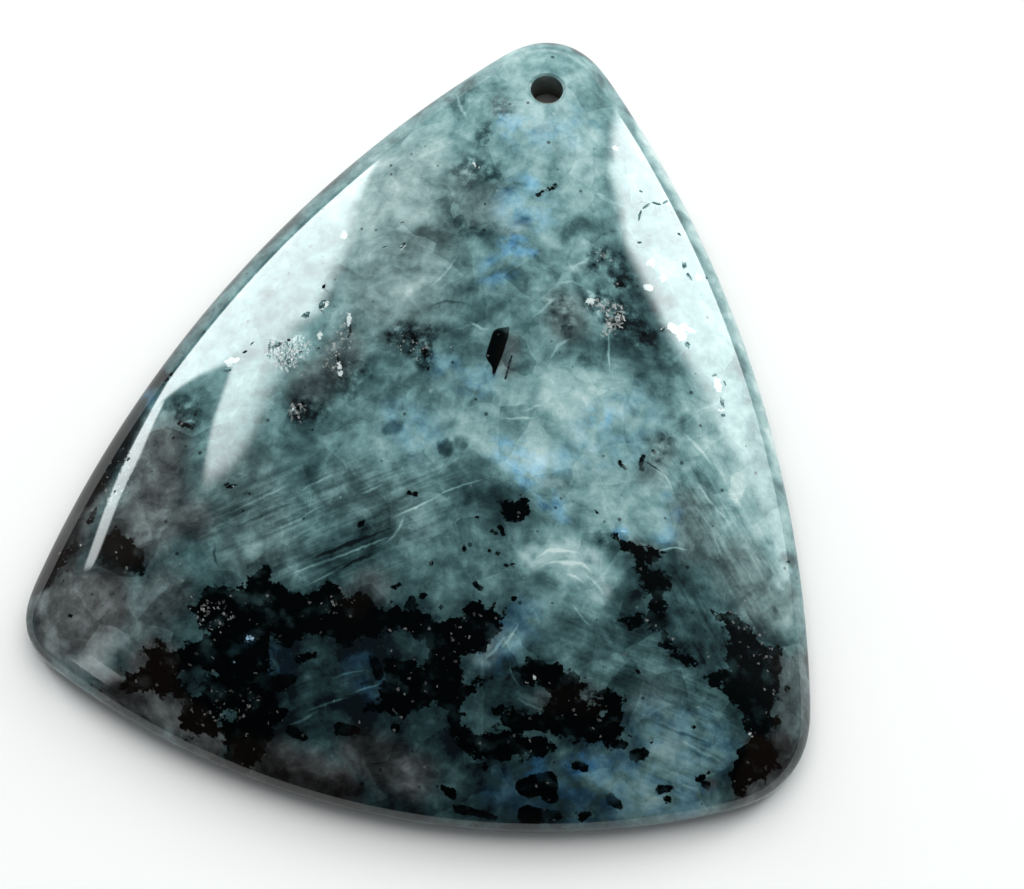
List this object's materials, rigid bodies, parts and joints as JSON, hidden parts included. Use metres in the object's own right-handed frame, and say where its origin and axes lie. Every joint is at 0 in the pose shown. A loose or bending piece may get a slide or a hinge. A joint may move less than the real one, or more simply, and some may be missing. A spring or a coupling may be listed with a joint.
{
  "type": "larvikite pendant stone",
  "caption": "Polished larvikite cut as a rounded triangle, domed in front and flat at the back, with a hole for a cord drilled through one corner.",
  "frame": {"origin": "on the flat back, in the middle of the stone's box seen from above", "axes": "+Y towards the drilled corner, +Z out of the dome, +X to the right when the dome is seen with the drilled corner up"},
  "size_m": [0.0476, 0.05, 0.0074],
  "materials": {
    "polished_larvikite": "high polish; blue-grey feldspar with milky clouds and fine streaks, black mineral patches with small metallic grains, and a faint blue sheen in places"
  },
  "bodies": {
    "root": {"larvikite_stone": "polished_larvikite"}
  },
  "joints": []
}
